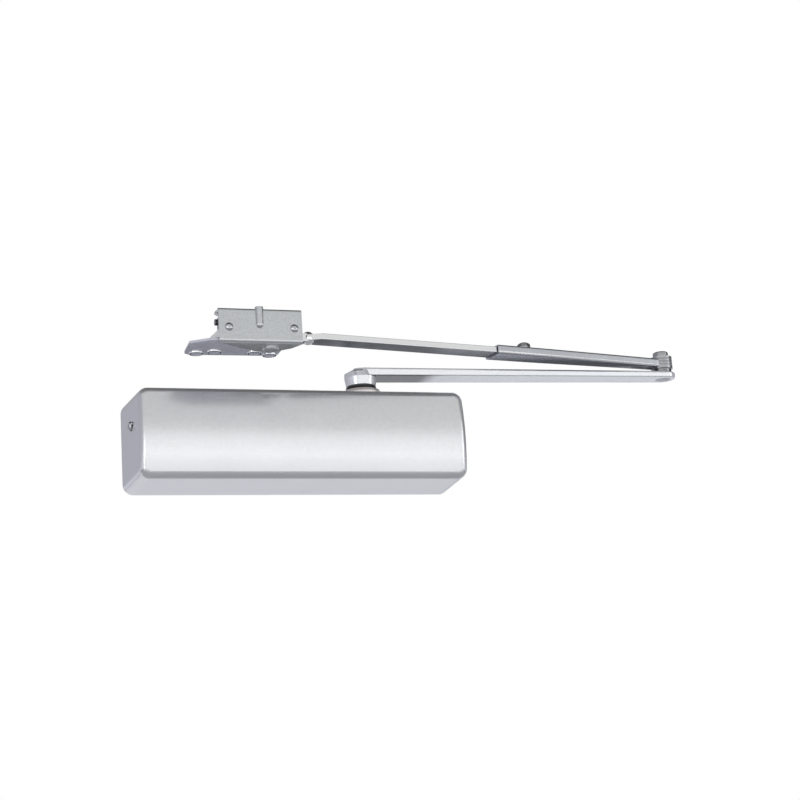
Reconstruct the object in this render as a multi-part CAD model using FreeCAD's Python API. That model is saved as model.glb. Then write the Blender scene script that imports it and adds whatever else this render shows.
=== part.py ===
"""Surface door closer with a full cover, parallel arm and cushion-stop soffit shoe.

Millimetres, +Z up. The door face is the plane y = 0 and the closer stands out
from it towards -Y. The origin is the centre of the body's four mounting holes,
on the door face.
"""
import FreeCAD
import Part
import math
import os

V = FreeCAD.Vector
X = V(1, 0, 0)
Y = V(0, 1, 0)
Z = V(0, 0, 1)

# ---- driving dimensions -------------------------------------------------

# cover
cover_length = 311.0
cover_height = 84.5
cover_depth = 70.0
cover_crown = 6.5
cover_back = -0.5
cover_wall = 2.0
cover_corner_r = 9.5
cover_front_r = 8.0
end_draft = 0.057
top_draft = 0.018
slot_length = 20.0
slot_height = 5.5
cover_screw_y = -39.8
cover_screw_z = 11.9
collar_hole_r = 19.6
bracket_screw_ys = (-50.0, -18.0)
bracket_screw_z = 26.6
bracket_half = 6.2

# body casting
body_half = 134.0
bore_y = -33.0
bore_r = 19.05
barrel_r = 24.5
web_thick = 14.0
web_half_height = 23.0
end_flange_thick = 10.0
end_flange_top = 31.0
mount_hole_r = 3.4
mount_spacing_x = 224.0
mount_spacing_z = 62.0
lug_thick = 12.0
lug_half_width = 10.0
lug_top = 38.0
valve_zs = (-14.0, 0.0, 14.0)
valve_y = -6.2
valve_r = 3.0
valve_tip = 112.0

# pinion and rack
pinion_x = 64.3
pinion_y = -35.0
gear_module = 1.75
gear_teeth = 12
gear_pressure = math.radians(25.0)
gear_addendum = 1.4
gear_dedendum = 1.85
gear_half_face = 14.0
gear_backlash = 0.24
journal_r = 9.0
drive_square = 13.5
boss_r = 17.0
boss_top = 36.0
bearing_r = 13.0

# piston and springs
piston_r = 19.0
piston_left = pinion_x - 30.1
piston_right = pinion_x + 50.0
rack_slot_left = pinion_x - 16.1
rack_slot_right = pinion_x + 39.9
check_x = pinion_x + 42.6
check_hole_r = 1.6
check_ball_r = 2.5
check_gap = 0.05
spring_left = -116.0
spring_mean_r = 15.0
spring_wire_r = 2.4
spring_turns = 18

# main arm
arm_bottom = 61.0
arm_top_hub = 68.5
arm_top_elbow = 66.8
hub_bottom = 52.0
arm_draft = math.radians(8)
hub_r = 15.0
hub_foot_r = 13.7
hub_bevel = 3.2
screw_recess = 67.4
arm_width_hub = 30.0
arm_width_elbow = 25.0
elbow_x = 369.0
elbow_y = -53.0

# forearm, in its own frame: x runs from the elbow axis towards the shoe
tube_bottom = 71.9
tube_top = 80.5
tube_wall = 1.5
tube_start = 8.0
tube_knee = 140.0
tube_end = 191.5
tube_width_start = 15.0
tube_width_knee = 23.9
tube_width_end = 25.6
eye_r = 10.5
eye_bottom = 71.0
eye_top = 83.0
clamp_at = 156.5
rod_tail = 120.0
rod_tail_width = 17.0
rod_start = 150.0
rod_shoulder = 370.0
rod_width = 20.0
knuckle_at = 379.5
knuckle_r = 6.0
rod_bottom = 73.5
rod_top = 78.9

# soffit shoe
pivot_x = -42.0
pivot_y = -116.5
housing_left = -91.0
housing_right = -17.0
housing_front = -133.6
housing_back = -106.0
housing_bottom = 64.6
housing_top = 95.5
housing_sheet = 2.0
plate_bottom = 66.6
plate_top = 68.8
soffit_centre_x = -70.0
soffit_hole_r = 3.3
outer_hole_half = 33.0
outer_hole_y = -92.0
inner_hole_half = 18.0
inner_hole_y = -97.5
cushion_y = -120.0
cushion_z = 85.8
plunger_face = -58.6
housing_screw_xs = (-82.0, -24.0)
housing_screw_z = 78.2
rib_x = -54.9
rod_hub_r = 9.5
cam_reach = 16.0
cam_angle = 75.0


# ---- small builders -----------------------------------------------------

def box(x0, x1, y0, y1, z0, z1):
    return Part.makeBox(x1 - x0, y1 - y0, z1 - z0, V(x0, y0, z0))


def post(x, y, z0, z1, r):
    return Part.makeCylinder(r, z1 - z0, V(x, y, z0), Z)


def bar_x(x0, x1, y, z, r):
    return Part.makeCylinder(r, x1 - x0, V(x0, y, z), X)


def bar_y(x, y0, y1, z, r):
    return Part.makeCylinder(r, y1 - y0, V(x, y0, z), Y)


def ring_z(x, y, z0, z1, r_out, r_in):
    return post(x, y, z0, z1, r_out).cut(post(x, y, z0, z1, r_in))


def ring_x(x0, x1, y, z, r_out, r_in):
    return bar_x(x0, x1, y, z, r_out).cut(bar_x(x0, x1, y, z, r_in))


def cone_z(x, y, z0, z1, r0, r1):
    return Part.makeCone(r0, r1, z1 - z0, V(x, y, z0), Z)


def plate(points, z0, z1):
    corners = [V(x, y, z0) for x, y in points]
    face = Part.Face(Part.makePolygon(corners + corners[:1]))
    return face.extrude(V(0, 0, z1 - z0))


def prism(across_flats, sides, start, direction, length):
    """A regular bar, such as a hexagon head, from a start point along a direction."""
    r = across_flats / 2 / math.cos(math.pi / sides)
    angles = [2 * math.pi * (i + 0.5) / sides for i in range(sides)]
    corners = [V(r * math.cos(a), r * math.sin(a), 0) for a in angles]
    solid = Part.Face(Part.makePolygon(corners + corners[:1])).extrude(V(0, 0, length))
    solid.Placement = FreeCAD.Placement(start, FreeCAD.Rotation(Z, direction))
    return solid


def fuse(shapes):
    return shapes[0].fuse(shapes[1:]).removeSplitter()


def on_forearm(shape):
    """Turn a shape from the forearm's own frame into the closer's frame."""
    turn = math.degrees(math.atan2(pivot_y - elbow_y, pivot_x - elbow_x))
    shape.Placement = FreeCAD.Placement(V(elbow_x, elbow_y, 0), FreeCAD.Rotation(Z, turn))
    return shape


def coil(mean_r, wire_r, length, turns):
    """A compression spring along +Z whose wire starts and ends inside its length."""
    rise = length - 2 * wire_r
    path = Part.Wire(Part.makeHelix(rise / turns, rise, mean_r))
    section = Part.Wire(Part.makeCircle(wire_r, V(mean_r, 0, 0), Y))
    solid = path.makePipeShell([section], True, True)
    solid.translate(V(0, 0, wire_r))
    return solid


def save(name, shape):
    shape.exportStep("parts/" + name + ".step")
    print(name, len(shape.Solids), round(shape.Volume), shape.isValid())


# ---- cover and the pieces that hold it ----------------------------------

def cover_section(y, inset):
    """The cover's rounded outline at depth y, as a closed wire."""
    half_x = cover_length / 2 + end_draft * y - inset
    half_z = cover_height / 2 + top_draft * y - inset
    r = cover_corner_r - inset
    middle = r * (1 - math.sqrt(0.5))
    edges = []
    for sx, sz in ((1, 1), (-1, 1), (-1, -1), (1, -1)):
        on_side = V(sx * half_x, y, sz * (half_z - r))
        at_corner = V(sx * (half_x - middle), y, sz * (half_z - middle))
        on_top = V(sx * (half_x - r), y, sz * half_z)
        ends = (on_side, on_top) if sx * sz > 0 else (on_top, on_side)
        if edges:
            edges.append(Part.LineSegment(edges[-1].Vertexes[-1].Point, ends[0]).toShape())
        edges.append(Part.Arc(ends[0], at_corner, ends[1]).toShape())
    first = edges[0].Vertexes[0].Point
    edges.append(Part.LineSegment(edges[-1].Vertexes[-1].Point, first).toShape())
    return Part.Wire(edges)


def cover_form(inset):
    """The cover's outer form, or the form of its hollow when inset by the wall."""
    front = -(cover_depth + cover_crown + 4)
    back = cover_back if inset == 0 else cover_back + 1
    form = Part.makeLoft([cover_section(back, inset), cover_section(front, inset)], True, True)
    half_chord = cover_height / 2 - 1.2
    crown_r = (half_chord ** 2 + cover_crown ** 2) / (2 * cover_crown)
    crown_y = -(cover_depth + cover_crown) + crown_r
    drum = Part.makeCylinder(crown_r - inset, cover_length, V(-cover_length / 2, crown_y, 0), X)
    form = form.common(drum)
    lip = [e for e in form.Edges if max(v.Point.y for v in e.Vertexes) < -cover_depth * 0.8]
    return form.makeFillet(cover_front_r - inset, lip)


def cover():
    shell = cover_form(0).cut(cover_form(cover_wall))
    opening = post(pinion_x, pinion_y, 30, 50, collar_hole_r)
    notch = box(pinion_x - collar_hole_r, pinion_x + collar_hole_r, pinion_y, 5, 30, 50)
    shell = shell.cut(opening.fuse(notch))
    half = slot_length / 2 - slot_height / 2
    for side in (-1, 1):
        x0 = side * 160 - 12
        slot = box(x0, x0 + 24, cover_screw_y - half, cover_screw_y + half,
                   cover_screw_z - slot_height / 2, cover_screw_z + slot_height / 2)
        for end in (-half, half):
            slot = slot.fuse(bar_x(x0, x0 + 24, cover_screw_y + end, cover_screw_z,
                                   slot_height / 2))
        shell = shell.cut(slot)
    return shell


def end_wall_x(y):
    """Half the cover's outside length at depth y."""
    return cover_length / 2 + end_draft * y


def cover_bracket(side):
    """A strip folded twice: foot on the body's end, leg out, tab behind the cover's end."""
    tab_out = end_wall_x(cover_screw_y) - cover_wall - 0.6
    foot = box(body_half, body_half + 2, -56, -12, 22.6, end_flange_top)
    leg = box(body_half, tab_out, cover_screw_y - bracket_half, cover_screw_y + bracket_half,
              end_flange_top - 2, end_flange_top)
    tab = box(tab_out - 2, tab_out, cover_screw_y - bracket_half, cover_screw_y + bracket_half,
              4, end_flange_top)
    strip = fuse([foot, leg, tab])
    strip = strip.cut(bar_x(tab_out - 3, tab_out + 1, cover_screw_y, cover_screw_z, 2.0))
    for y in bracket_screw_ys:
        strip = strip.cut(bar_x(body_half - 1, body_half + 3, y, bracket_screw_z, 2.0))
    if side < 0:
        strip = strip.mirror(V(0, 0, 0), X)
    return strip


def bracket_screws():
    screws = []
    for side in (-1, 1):
        for y in bracket_screw_ys:
            start = V(side * (body_half + 2), y, bracket_screw_z)
            head = Part.makeCylinder(3.6, 2.2, start, X * side)
            slot = prism(2.6, 6, start + X * side * 1.0, X * side, 3)
            shank = Part.makeCylinder(2.0, 9.0, start, X * -side)
            screws.append(head.fuse(shank).cut(slot))
    return Part.makeCompound(screws)


def cover_screws():
    screws = []
    seat = end_wall_x(cover_screw_y) + 0.25
    for side in (-1, 1):
        start = V(side * seat, cover_screw_y, cover_screw_z)
        head = Part.makeCylinder(4.4, 1.9, start, X * side)
        rim = [e for e in head.Edges if abs(abs(e.Vertexes[0].Point.x) - seat - 1.9) < 0.01]
        head = head.makeFillet(0.9, rim[:1])
        cross = [prism(1.2, 4, start + X * side * 0.9, X * side, 2)]
        for turn in (0, 90):
            arm = Part.makeBox(2.0, 4.8, 0.9, V(-1.0, -2.4, -0.45))
            arm.Placement = FreeCAD.Placement(start + X * side * 1.9, FreeCAD.Rotation(X, turn))
            cross.append(arm)
        shank = Part.makeCylinder(2.0, 9.0, start, X * -side)
        screws.append(head.fuse(shank).cut(cross[0].fuse(cross[1:])))
    return Part.makeCompound(screws)


# ---- body casting and its fixed pieces ----------------------------------

def mount_points():
    half_x = mount_spacing_x / 2
    half_z = mount_spacing_z / 2
    return [(sx * half_x, sz * half_z) for sx in (-1, 1) for sz in (-1, 1)]


def body_casting():
    barrel = bar_x(-body_half, body_half, bore_y, 0, barrel_r)
    web = box(-body_half, body_half, -web_thick, 0, -web_half_height, web_half_height)
    ends = []
    lugs = []
    for side in (-1, 1):
        inner = side * (body_half - end_flange_thick)
        outer = side * body_half
        ends.append(box(min(inner, outer), max(inner, outer), -56, -11, -27, end_flange_top))
        centre = side * mount_spacing_x / 2
        lugs.append(box(centre - lug_half_width, centre + lug_half_width, -lug_thick, 0,
                        -lug_top, lug_top))
    boss = post(pinion_x, pinion_y, -boss_top, boss_top, boss_r)
    rib = box(pinion_x - 6, pinion_x + 6, pinion_y, 0, -32, 32)
    body = fuse([barrel, web, boss, rib] + ends + lugs)
    body = body.cut(bar_x(-body_half - 1, body_half + 1, bore_y, 0, bore_r))
    body = body.cut(post(pinion_x, pinion_y, -boss_top - 1, boss_top + 1, bearing_r))
    for x, z in mount_points():
        body = body.cut(bar_y(x, -lug_thick - 1, 1, z, mount_hole_r))
    for z in valve_zs:
        body = body.cut(bar_x(valve_tip, body_half + 1, valve_y, z, valve_r + 0.06))
        reach = math.sqrt(bore_r ** 2 - z ** 2)
        body = body.cut(bar_y(valve_tip + 3, bore_y + reach - 2, valve_y, z, 1.5))
    for side in (-1, 1):
        for y in bracket_screw_ys:
            body = body.cut(bar_x(side * body_half - 8, side * body_half + 8, y,
                                  bracket_screw_z, 2.0))
    return body


def end_plug(side, hole_r):
    """The plug screwed into one end of the bore, with its hexagon outside."""
    face = body_half if side > 0 else -body_half
    spigot = Part.makeCylinder(bore_r - 0.02, 11, V(face, bore_y, 0), X * -side)
    rim = Part.makeCylinder(22.0, 3, V(face, bore_y, 0), X * side)
    flats = prism(24, 6, V(face + side * 3, bore_y, 0), X * side, 3)
    groove = ring_x(face - side * 6 - 1.2, face - side * 6 + 1.2, bore_y, 0, bore_r + 1, 17.4)
    plug = fuse([spigot, rim, flats]).cut(groove)
    if hole_r > 0:
        plug = plug.cut(bar_x(face - 15, face + 15, bore_y, 0, hole_r))
    return plug


def plug_seal(side):
    centre = V(side * (body_half - 6), bore_y, 0)
    return Part.makeTorus(18.2, 0.8, centre, X)


def upper_bearing():
    return ring_z(pinion_x, pinion_y, 21, 32, bearing_r, journal_r + 0.05)


def lower_bearing():
    return ring_z(pinion_x, pinion_y, -32, -21, bearing_r, journal_r + 0.05)


def upper_shaft_seal():
    return ring_z(pinion_x, pinion_y, 32, 35, bearing_r, journal_r + 0.3)


def upper_bearing_cap():
    """Screwed collar that closes the upper bearing and shows above the cover."""
    profile = [(journal_r + 0.4, 35), (12.9, 35), (12.9, 36), (17.8, 36), (18.5, 42.4),
               (18.5, 46.0), (17.0, 48.7), (13.0, 49.7), (journal_r + 0.4, 49.7)]
    corners = [V(pinion_x + r, pinion_y, z) for r, z in profile]
    face = Part.Face(Part.makePolygon(corners + corners[:1]))
    cap = face.revolve(V(pinion_x, pinion_y, 0), Z, 360)
    for i in range(4):
        a = math.pi / 4 + i * math.pi / 2
        x = pinion_x + 18.6 * math.cos(a)
        y = pinion_y + 18.6 * math.sin(a)
        cap = cap.cut(post(x, y, 36.6, 47, 2.2))
    return cap


def lower_bearing_cap():
    spigot = post(pinion_x, pinion_y, -boss_top, -32, 12.9)
    disc = post(pinion_x, pinion_y, -39.0, -boss_top, 16.5)
    hollow = post(pinion_x, pinion_y, -35.0, -31, 10.2)
    cap = spigot.fuse(disc).cut(hollow)
    return cap.cut(prism(10, 6, V(pinion_x, pinion_y, -40), Z, 3.2))


# ---- pinion, piston and main spring -------------------------------------

def gear_outline():
    """The pinion's involute outline as points about its axis, one tooth facing -Y."""
    pitch_r = gear_module * gear_teeth / 2
    base_r = pitch_r * math.cos(gear_pressure)
    tip_r = pitch_r + gear_addendum
    root_r = pitch_r - gear_dedendum
    half_tooth = math.pi / (2 * gear_teeth) - gear_backlash / 4 / pitch_r
    at_pitch = math.tan(gear_pressure) - gear_pressure
    flank = [(root_r, half_tooth + at_pitch)]
    steps = 4
    for i in range(steps + 1):
        r = base_r + (tip_r - base_r) * i / steps
        slope = math.acos(base_r / r)
        flank.append((r, half_tooth + at_pitch - (math.tan(slope) - slope)))
    points = []
    for tooth in range(gear_teeth):
        centre = -math.pi / 2 + 2 * math.pi * tooth / gear_teeth
        for r, a in flank:
            points.append((r * math.cos(centre - a), r * math.sin(centre - a)))
        for r, a in reversed(flank):
            points.append((r * math.cos(centre + a), r * math.sin(centre + a)))
    return points


def pinion_shaft():
    points = [(pinion_x + x, pinion_y + y) for x, y in gear_outline()]
    gear = plate(points, -gear_half_face, gear_half_face)
    lower = post(pinion_x, pinion_y, -33.5, -gear_half_face, journal_r)
    upper = post(pinion_x, pinion_y, gear_half_face, 52, journal_r)
    square = prism(drive_square, 4, V(pinion_x, pinion_y, 52), Z, 14)
    square = square.common(post(pinion_x, pinion_y, 52, 66, journal_r))
    shaft = fuse([gear, lower, upper, square])
    return shaft.cut(post(pinion_x, pinion_y, 48, 67, 3.6))


def piston():
    body = bar_x(piston_left, piston_right, bore_y, 0, piston_r)
    pitch_r = gear_module * gear_teeth / 2
    pitch_y = pinion_y - pitch_r
    tip_y = pitch_y + gear_addendum
    slot_back = pinion_y + pitch_r + gear_addendum + 1.2
    body = body.cut(box(rack_slot_left, rack_slot_right, tip_y, slot_back, -20, 20))
    tooth_pitch = math.pi * gear_module
    half_space = tooth_pitch / 4 + gear_backlash / 2
    slope = math.tan(gear_pressure)
    half_tip = half_space + gear_addendum * slope
    half_root = half_space - gear_dedendum * slope
    first = math.ceil((rack_slot_left - pinion_x) / tooth_pitch + 0.5)
    last = math.floor((rack_slot_right - pinion_x) / tooth_pitch - 0.5)
    for i in range(first, last + 1):
        x = pinion_x + i * tooth_pitch
        space = plate([(x - half_tip, tip_y + 0.001), (x + half_tip, tip_y + 0.001),
                       (x + half_root, pitch_y - gear_dedendum),
                       (x - half_root, pitch_y - gear_dedendum)], -20, 20)
        body = body.cut(space)
    body = body.cut(bar_x(check_x, piston_right + 1, bore_y, 0, check_ball_r + 0.3))
    body = body.cut(bar_x(rack_slot_right - 1, check_x + 1, bore_y, 0, check_hole_r))
    return body.cut(bar_x(piston_left - 1, piston_left + 6, bore_y, 0, 9.0))


def check_ball():
    seated = check_x + check_gap + math.sqrt(check_ball_r ** 2 - check_hole_r ** 2)
    return Part.makeSphere(check_ball_r, V(seated, bore_y, 0))


def check_retainer():
    return ring_x(piston_right - 1.0, piston_right, bore_y, 0, check_ball_r + 0.3, 1.4)


def main_spring():
    spring = coil(spring_mean_r, spring_wire_r, piston_left - spring_left, spring_turns)
    spring.rotate(V(0, 0, 0), Y, 90)
    spring.translate(V(spring_left, bore_y, 0))
    return spring


def spring_seat():
    disc = bar_x(spring_left - 4, spring_left, bore_y, 0, 18.6)
    nose = bar_x(spring_left, spring_left + 6, bore_y, 0, 11.5)
    return disc.fuse(nose).cut(bar_x(spring_left - 5, spring_left + 7, bore_y, 0, 5.1))


def spring_adjuster():
    shank = bar_x(-body_half - 7, spring_left + 4, bore_y, 0, 4.9)
    collar = bar_x(spring_left - 6.4, spring_left - 4.6, bore_y, 0, 8.0)
    head = prism(13, 6, V(-body_half - 6.5, bore_y, 0), X * -1, 5.5)
    return fuse([shank, collar, head])


def regulating_valve(z):
    shank = bar_x(valve_tip + 6, body_half + 0.3, valve_y, z, valve_r)
    tip = Part.makeCone(0.8, valve_r, 5, V(valve_tip + 1, valve_y, z), X)
    head = bar_x(body_half + 0.3, body_half + 2.6, valve_y, z, 3.7)
    slot = box(body_half + 1.4, body_half + 3, valve_y - 5, valve_y + 5, z - 0.5, z + 0.5)
    groove = ring_x(126.9, 128.7, valve_y, z, valve_r + 1, 2.2)
    return fuse([shank, tip, head]).cut(slot).cut(groove)


def valve_seals():
    return Part.makeCompound([Part.makeTorus(2.62, 0.4, V(127.8, valve_y, z), X)
                              for z in valve_zs])


# ---- main arm and elbow -------------------------------------------------

def arm_outline(length, z, inset):
    """Outline of the arm's bar at one height; a forging's sides draw in by the inset."""
    hub = arm_width_hub / 2 - inset
    end = arm_width_elbow / 2 - inset
    sides = [Part.LineSegment(V(0, -hub, z), V(length, -end, z)),
             Part.Arc(V(length, -end, z), V(length + end, 0, z), V(length, end, z)),
             Part.LineSegment(V(length, end, z), V(0, hub, z)),
             Part.LineSegment(V(0, hub, z), V(0, -hub, z))]
    return Part.Wire([side.toShape() for side in sides])


def main_arm():
    """Forged arm: a deep hub over the pinion, a flat bar and a round elbow end."""
    length = math.hypot(elbow_x - pinion_x, elbow_y - pinion_y)
    turn = math.degrees(math.atan2(elbow_y - pinion_y, elbow_x - pinion_x))
    inset = (arm_top_hub - arm_bottom) * math.tan(arm_draft)
    bar = Part.makeLoft([arm_outline(length, arm_bottom, inset),
                         arm_outline(length, arm_top_hub, 0)], True, True)
    bar = bar.fuse(post(0, 0, arm_bottom, arm_top_hub, hub_r)).removeSplitter()
    profile = [V(-20, -30, arm_top_hub), V(length + 20, -30, arm_top_elbow),
               V(length + 20, -30, arm_top_hub + 9), V(-20, -30, arm_top_hub + 9)]
    above = Part.Face(Part.makePolygon(profile + profile[:1])).extrude(V(0, 60, 0))
    bar = bar.cut(above)
    upper = [e for e in bar.Edges if min(v.Point.z for v in e.Vertexes) > arm_top_elbow - 0.3]
    bar = bar.makeFillet(1.6, upper)
    lower = [e for e in bar.Edges if max(v.Point.z for v in e.Vertexes) < arm_bottom + 0.1]
    lower = [e for e in lower if e.BoundBox.XMax > hub_r + 1]
    bar = bar.makeFillet(1.2, lower)
    sleeve = cone_z(0, 0, hub_bottom, arm_bottom, hub_foot_r, hub_r)
    foot = [e for e in sleeve.Edges if max(v.Point.z for v in e.Vertexes) < hub_bottom + 0.1]
    arm = bar.fuse(sleeve.makeChamfer(1.2, foot))
    shoulder = box(-hub_r - 1, 0, -hub_r - 1, hub_r + 1, arm_top_hub - hub_bevel, 75)
    arm = arm.cut(shoulder.cut(cone_z(0, 0, arm_top_hub - hub_bevel, arm_top_hub + hub_bevel,
                                      hub_r, hub_r - 4 * hub_bevel)))
    arm.Placement = FreeCAD.Placement(V(pinion_x, pinion_y, 0), FreeCAD.Rotation(Z, turn))
    socket = prism(drive_square + 0.1, 4, V(pinion_x, pinion_y, hub_bottom - 1), Z, 15.2)
    arm = arm.cut(socket).cut(post(pinion_x, pinion_y, 60, 70, 4.1))
    arm = arm.cut(post(pinion_x, pinion_y, screw_recess, 75, 8.9))
    arm = arm.cut(post(elbow_x, elbow_y, arm_bottom - 1, arm_top_hub + 1, 5.0))
    return arm.cut(cone_z(elbow_x, elbow_y, arm_bottom, arm_bottom + 2.5, 7.5, 5.0))


def arm_spacer():
    return ring_z(pinion_x, pinion_y, 50.0, hub_bottom, 14.1, journal_r)


def arm_washer():
    return ring_z(pinion_x, pinion_y, screw_recess, screw_recess + 0.6, 8.5, 4.1)


def arm_screw():
    seat = screw_recess + 0.6
    head = post(pinion_x, pinion_y, seat, seat + 2.4, 6.2)
    head = head.cut(prism(6, 6, V(pinion_x, pinion_y, seat + 0.9), Z, 3))
    return head.fuse(post(pinion_x, pinion_y, 49, seat, 3.6))


def elbow_rivet():
    shank = post(elbow_x, elbow_y, arm_bottom, eye_top + 0.2, 5.0)
    foot = cone_z(elbow_x, elbow_y, arm_bottom, arm_bottom + 2.5, 7.5, 5.0)
    head = post(elbow_x, elbow_y, eye_top + 0.2, eye_top + 5.4, 7.4)
    rim = [e for e in head.Edges if min(v.Point.z for v in e.Vertexes) > eye_top + 5]
    head = head.makeFillet(1.4, rim)
    return fuse([shank, foot, head])


def elbow_washer():
    return ring_z(elbow_x, elbow_y, arm_top_elbow + 0.2, eye_bottom - 0.1, 9.0, 5.0)


# ---- forearm: tube, clamp and sliding rod -------------------------------

def tube_section(x, width, bottom, top, r):
    half = width / 2
    k = r * (1 - math.sqrt(0.5))
    edges = []
    for sy, sz in ((1, 1), (-1, 1), (-1, -1), (1, -1)):
        middle = (bottom + top) / 2
        half_z = (top - bottom) / 2
        on_side = V(x, sy * half, middle + sz * (half_z - r))
        at_corner = V(x, sy * (half - k), middle + sz * (half_z - k))
        on_top = V(x, sy * (half - r), middle + sz * half_z)
        ends = (on_side, on_top) if sy * sz > 0 else (on_top, on_side)
        if edges:
            edges.append(Part.LineSegment(edges[-1].Vertexes[-1].Point, ends[0]).toShape())
        edges.append(Part.Arc(ends[0], at_corner, ends[1]).toShape())
    first = edges[0].Vertexes[0].Point
    edges.append(Part.LineSegment(edges[-1].Vertexes[-1].Point, first).toShape())
    return Part.Wire(edges)


def tube_form(inset, r):
    """The tapered outer form of the tube, or its hollow when inset by the wall."""
    bottom = tube_bottom + inset
    top = tube_top - inset
    extra = 1 if inset > 0 else 0
    pieces = []
    stations = [(tube_start - extra, tube_width_start), (tube_knee, tube_width_knee),
                (tube_end + extra, tube_width_end)]
    for (x0, w0), (x1, w1) in zip(stations, stations[1:]):
        pieces.append(Part.makeLoft([tube_section(x0, w0 - 2 * inset, bottom, top, r),
                                     tube_section(x1, w1 - 2 * inset, bottom, top, r)],
                                    True, True))
    return fuse(pieces)


def forearm_tube():
    tube = tube_form(0, 2.4).cut(tube_form(tube_wall, 0.9))
    tube = tube.cut(post(0, 0, 60, 90, eye_r))
    tube = tube.cut(box(0, 34, -5.2, 5.2, 70, tube_bottom + tube_wall + 0.1))
    tube = tube.cut(post(clamp_at, 0, 78, 82, 3.0))
    return on_forearm(tube)


def elbow_eye():
    """Round eye at the end of the tube, with three turned grooves round it."""
    eye = ring_z(0, 0, eye_bottom, eye_top, eye_r, 7.0)
    tongue = box(eye_r - 2, 30, -4.6, 4.6, tube_bottom + tube_wall + 0.2, tube_top - tube_wall)
    eye = eye.fuse(tongue.cut(post(0, 0, 60, 90, eye_r - 1)))
    for z in (74.6, 77.4, 80.2):
        eye = eye.cut(Part.makeTorus(eye_r + 0.35, 0.7, V(0, 0, z), Z))
    return on_forearm(eye)


def elbow_bush():
    return ring_z(elbow_x, elbow_y, eye_bottom, eye_top, 7.0, 5.06)


def clamp_nut():
    nut = prism(11, 6, V(clamp_at, 0, tube_top), Z, 2.8)
    return on_forearm(nut.cut(post(clamp_at, 0, 79, 84, 3.0)))


def clamp_screw():
    head = prism(10.6, 6, V(clamp_at, 0, tube_top + 3.0), Z, 4.4)
    dome = Part.makeSphere(9.0, V(clamp_at, 0, tube_top + 7.4 - 9.0))
    head = head.common(dome)
    shank = post(clamp_at, 0, rod_top + 0.05, tube_top + 3.0, 2.95)
    return on_forearm(head.fuse(shank))


def rod_bar():
    """Flat bar with a narrower hidden tail, a round knuckle and a tongue into the hub."""
    reach = math.hypot(pivot_x - elbow_x, pivot_y - elbow_y)
    half = rod_width / 2
    tail = rod_tail_width / 2
    outline = [(rod_tail, tail), (rod_start - 2, tail), (rod_start, half), (rod_shoulder, half),
               (knuckle_at, knuckle_r - 1), (knuckle_at, 1 - knuckle_r),
               (rod_shoulder, -half), (rod_start, -half), (rod_start - 2, -tail),
               (rod_tail, -tail)]
    bar = plate(outline, rod_bottom, rod_top)
    long_edges = [e for e in bar.Edges if e.Length > 150]
    bar = bar.makeFillet(0.6, long_edges)
    middle_z = (rod_bottom + rod_top) / 2
    knuckle = Part.makeSphere(knuckle_r, V(knuckle_at, 0, middle_z))
    tongue = box(knuckle_at + 1, reach, -4.5, 4.5, 72.0, 79.4)
    tongue = tongue.cut(post(reach, 0, 60, 95, rod_hub_r))
    return on_forearm(fuse([bar, knuckle, tongue]))


def rod_hub():
    """Upright sleeve on the shoe's pivot, with the cam that meets the cushion."""
    top = housing_top - housing_sheet - 0.6
    sleeve = post(pivot_x, pivot_y, 70.6, top, rod_hub_r)
    lobe = box(0, cam_reach - 4, -5, 5, 80.5, 91.0).fuse(
        Part.makeCylinder(5, 10.5, V(cam_reach - 5, 0, 80.5), Z))
    lobe.Placement = FreeCAD.Placement(V(pivot_x, pivot_y, 0), FreeCAD.Rotation(Z, cam_angle))
    return fuse([sleeve, lobe]).cut(post(pivot_x, pivot_y, 70, top + 1, 7.0))


def hub_bush():
    return ring_z(pivot_x, pivot_y, 70.6, housing_top - housing_sheet - 0.6, 7.0, 5.06)


# ---- soffit shoe and its cushion ----------------------------------------

def soffit_holes():
    holes = [(soffit_centre_x + side * outer_hole_half, outer_hole_y) for side in (-1, 1)]
    holes += [(soffit_centre_x + side * inner_hole_half, inner_hole_y) for side in (-1, 1)]
    return holes


def soffit_plate():
    flat = plate([(-114, -119), (-97.5, -130.6), (-40, -130.6), (-29, -118), (-29, -90.5),
                  (-33, -86.2), (-107, -83.6), (-112.5, -87.5)], plate_bottom, plate_top)
    for x, y in soffit_holes():
        flat = flat.fuse(cone_z(x, y, plate_bottom - 1.8, plate_bottom, 5.2, 6.6))
    for x, y in soffit_holes():
        flat = flat.cut(post(x, y, plate_bottom - 3, plate_top + 1, soffit_hole_r))
        flat = flat.cut(cone_z(x, y, plate_bottom - 1.8, plate_bottom + 0.2, 4.6, 3.3))
    return flat.cut(post(pivot_x, pivot_y, 60, 75, 5.0))


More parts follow.
